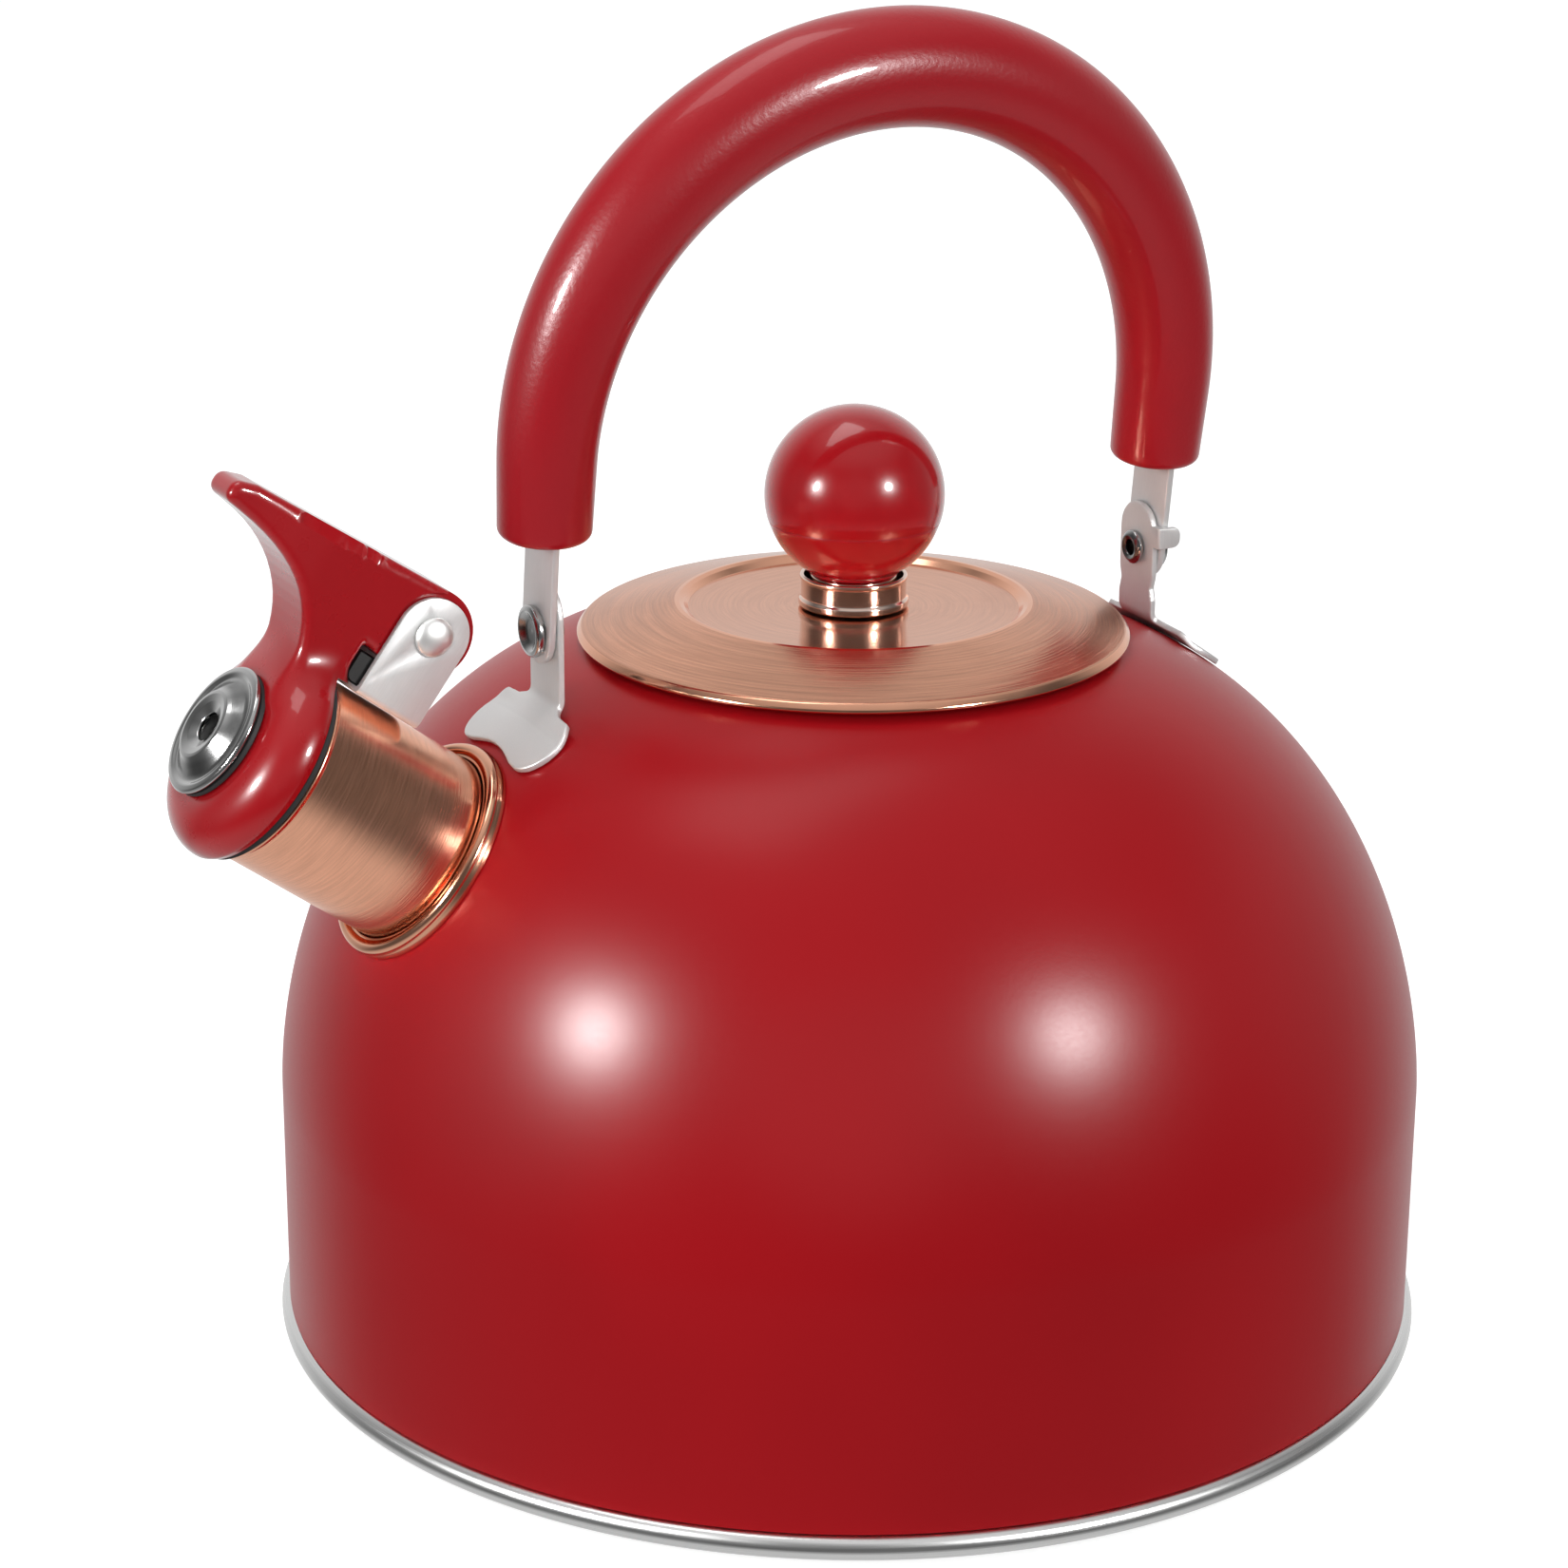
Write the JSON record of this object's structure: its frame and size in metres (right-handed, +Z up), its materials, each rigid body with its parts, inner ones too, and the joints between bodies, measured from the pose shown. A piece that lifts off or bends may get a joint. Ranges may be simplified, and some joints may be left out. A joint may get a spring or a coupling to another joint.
{
  "type": "kettle",
  "caption": "Domed stove-top whistling kettle with a lift-off lid and ball knob, a folding arch handle and a sprung whistle cap on a short spout.",
  "frame": {"origin": "centre of the flat underside of the base, on the surface that the kettle stands on", "axes": "+Z up along the body's axis, -X towards the spout, the handle folds down towards +Y"},
  "size_m": [0.2242, 0.203, 0.2317],
  "materials": {
    "red_paint": "satin red paint on sheet steel",
    "red_gloss": "high gloss red moulded plastic",
    "copper_plate": null,
    "pale_copper": null,
    "satin_steel": "satin pressed steel",
    "bright_steel": "polished stainless steel",
    "aluminium_core": "plain",
    "brass_insert": "plain machined",
    "black_nylon": "matt black moulding",
    "black_rubber": "matt black"
  },
  "bodies": {
    "kettle_body": {"body_shell": "red_paint", "base_pan": "bright_steel", "base_core": "aluminium_core", "base_cap": "satin_steel", "spout_tube": "copper_plate", "spout_collar": "copper_plate", "hinge_bracket": "satin_steel", "hinge_pin": "bright_steel", "hinge_block": "black_nylon", "hinge_spring": "bright_steel", "bracket_front": "satin_steel", "bracket_rear": "satin_steel", "rivet_front": "bright_steel", "rivet_rear": "bright_steel"},
    "handle": {"handle_strap": "satin_steel", "handle_grip": "red_gloss"},
    "whistle_cap": {"whistle_lever": "red_gloss", "whistle_core": "black_nylon", "spout_seal": "black_rubber", "whistle_bezel": "bright_steel", "whistle_back_plate": "bright_steel"},
    "lid": {"lid_plate": "copper_plate", "lid_skirt": "satin_steel", "knob_ferrule": "pale_copper", "knob_ball": "red_gloss", "knob_insert": "brass_insert", "lid_screw": "satin_steel", "lid_washer": "satin_steel"}
  },
  "joints": [
    {"name": "handle_fold", "type": "hinge", "parent": "kettle_body", "child": "handle", "pos_m": [0, 0, 0.132], "axis": [-1, 0, 0], "range_deg": [0, 108]},
    {"name": "whistle_lift", "type": "hinge", "parent": "kettle_body", "child": "whistle_cap", "pos_m": [-0.08109, 0, 0.13592], "axis": [0, 1, 0], "range_deg": [0, 50], "stiffness_Nm_per_rad": 0.08, "springref_deg": -28.65, "deforming": ["hinge_spring"]},
    {"name": "lid_lift", "type": "slide", "parent": "kettle_body", "child": "lid", "axis": [0, 0, 1], "range_m": [0, 0.045]}
  ]
}
